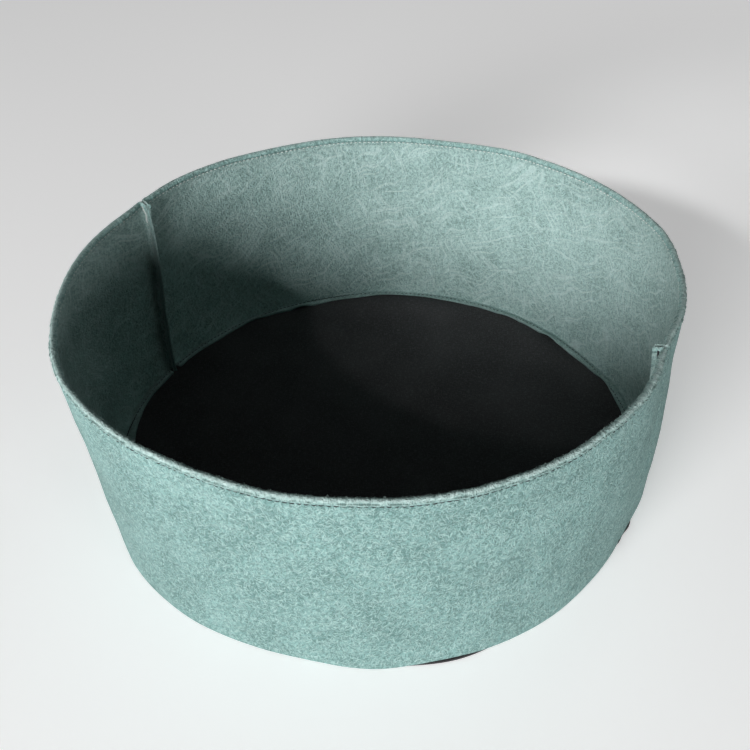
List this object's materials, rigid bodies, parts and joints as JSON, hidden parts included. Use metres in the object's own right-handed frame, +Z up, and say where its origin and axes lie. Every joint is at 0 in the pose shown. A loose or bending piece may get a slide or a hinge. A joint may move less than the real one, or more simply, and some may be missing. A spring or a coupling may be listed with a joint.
{
  "type": "fabric grow bag",
  "caption": "Round, open-topped planter bag of thick grey-green felt, wider than it is tall, with a folded stitched rim, two side seams turned inwards and a black cloth base.",
  "frame": {"origin": "centre of the base's underside, on the ground", "axes": "+Z up out of the open top; -Y out through the middle of the front panel; the two side seams are on +X (right) and -X (left)"},
  "size_m": [0.55, 0.55, 0.2],
  "materials": {
    "wall_felt": "grey-green needle-punched felt, matt, with pale and dark fibres",
    "base_cloth": "black nonwoven cloth, matt",
    "dark_thread": "charcoal twisted sewing thread",
    "pale_thread": "pale grey twisted sewing thread"
  },
  "bodies": {
    "root": {"front_wall": "wall_felt", "back_wall": "wall_felt", "base_panel": "base_cloth", "front_hem_needle_thread": "dark_thread", "front_hem_bobbin_thread": "pale_thread", "back_hem_needle_thread": "dark_thread", "back_hem_bobbin_thread": "pale_thread", "right_seam_needle_thread": "dark_thread", "right_seam_bobbin_thread": "pale_thread", "left_seam_needle_thread": "dark_thread", "left_seam_bobbin_thread": "pale_thread", "base_seam_needle_thread": "dark_thread", "base_seam_bobbin_thread": "pale_thread"}
  },
  "joints": []
}
